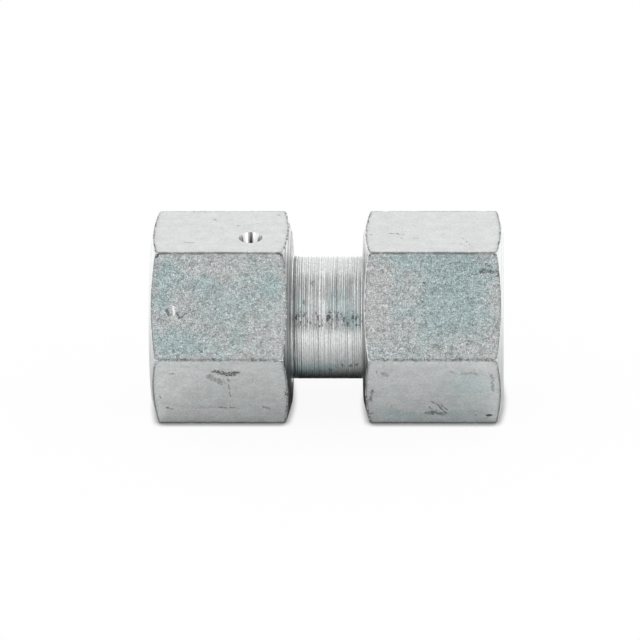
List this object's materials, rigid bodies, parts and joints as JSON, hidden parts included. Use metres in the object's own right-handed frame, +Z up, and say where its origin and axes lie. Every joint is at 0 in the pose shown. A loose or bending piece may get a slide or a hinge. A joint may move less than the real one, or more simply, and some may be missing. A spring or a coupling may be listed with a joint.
{
  "type": "double swivel nut straight connector",
  "caption": "Straight hydraulic tube connector: swivel hexagon nuts held by retaining wires on a turned body with coned, O-ring sealed ends.",
  "frame": {"origin": "middle of the connector, on the axis of its bore", "axes": "+X along the bore towards the right nut, +Y away from the viewer of the picture, +Z up, with one flat of each nut facing down"},
  "size_m": [0.051, 0.031, 0.027],
  "materials": {
    "plated_steel": "bright zinc plate with a faint blue-green tint",
    "spring_wire": "bright drawn spring wire",
    "seal_rubber": "smooth black nitrile rubber"
  },
  "bodies": {
    "connector": {"connector_body": "plated_steel", "left_retaining_wire": "spring_wire", "right_retaining_wire": "spring_wire", "left_o_ring": "seal_rubber", "right_o_ring": "seal_rubber"},
    "left_swivel_nut": {"left_nut": "plated_steel"},
    "right_swivel_nut": {"right_nut": "plated_steel"}
  },
  "joints": [
    {"name": "left_nut_swivel", "type": "hinge", "parent": "connector", "child": "left_swivel_nut", "pos_m": [-0.01535, 0, 0], "axis": [1, 0, 0], "continuous": true},
    {"name": "right_nut_swivel", "type": "hinge", "parent": "connector", "child": "right_swivel_nut", "pos_m": [0.01535, 0, 0], "axis": [1, 0, 0], "continuous": true}
  ]
}
